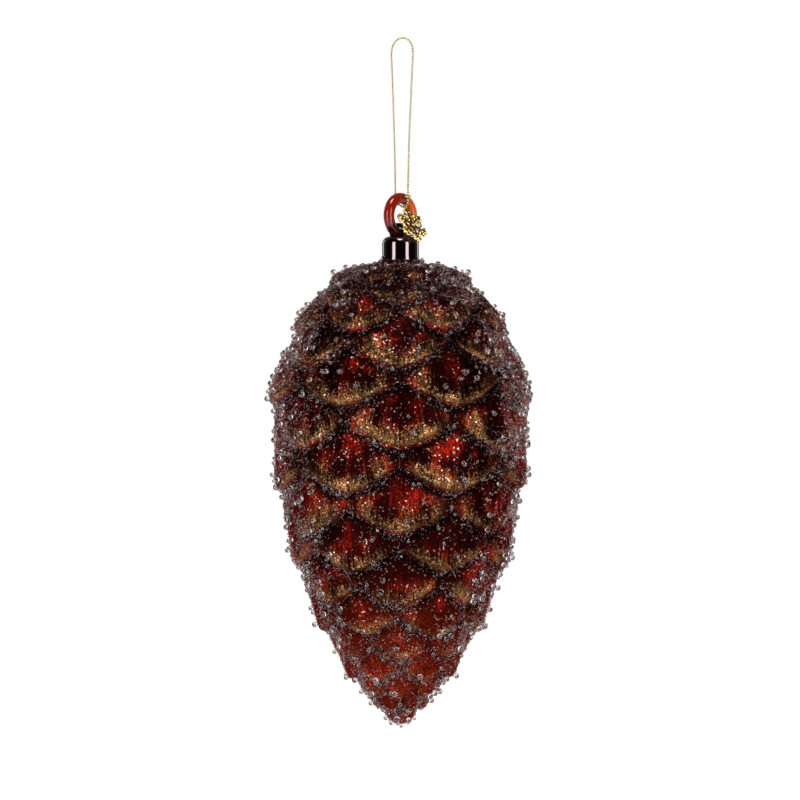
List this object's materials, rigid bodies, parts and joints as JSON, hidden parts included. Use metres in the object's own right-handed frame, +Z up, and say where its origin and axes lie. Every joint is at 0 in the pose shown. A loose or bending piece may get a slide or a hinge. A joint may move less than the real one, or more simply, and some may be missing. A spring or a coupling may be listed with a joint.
{
  "type": "pine cone ornament",
  "caption": "Hanging pine cone ornament with ribbed overlapping scales, glass beads, a domed cap with a ring, a metallic thread and a small snowflake charm.",
  "frame": {"origin": "inside of the hanging ring's top, where the thread bears and the ornament's weight is carried", "axes": "+Z up along the cone's axis, tip down; +Y along the ring's axis, so the thread passes through the ring along Y"},
  "size_m": [0.0848, 0.0866, 0.2207],
  "materials": {
    "cone_skin": "metallic maroon lacquer with gold edges, glitter and frosting",
    "cap_skin": "deep maroon gloss",
    "ring_resin": "translucent amber brown gloss",
    "gold_thread": "twisted metallic gold thread",
    "gold_metal": "polished gold-coloured cast metal",
    "clear_glass": "clear round beads"
  },
  "bodies": {
    "root": {"pine_cone": "cone_skin", "cap": "cap_skin", "hang_ring": "ring_resin", "hanging_thread": "gold_thread", "thread_knot": "gold_thread", "snowflake_charm": "gold_metal", "glass_beads": "clear_glass"}
  },
  "joints": []
}
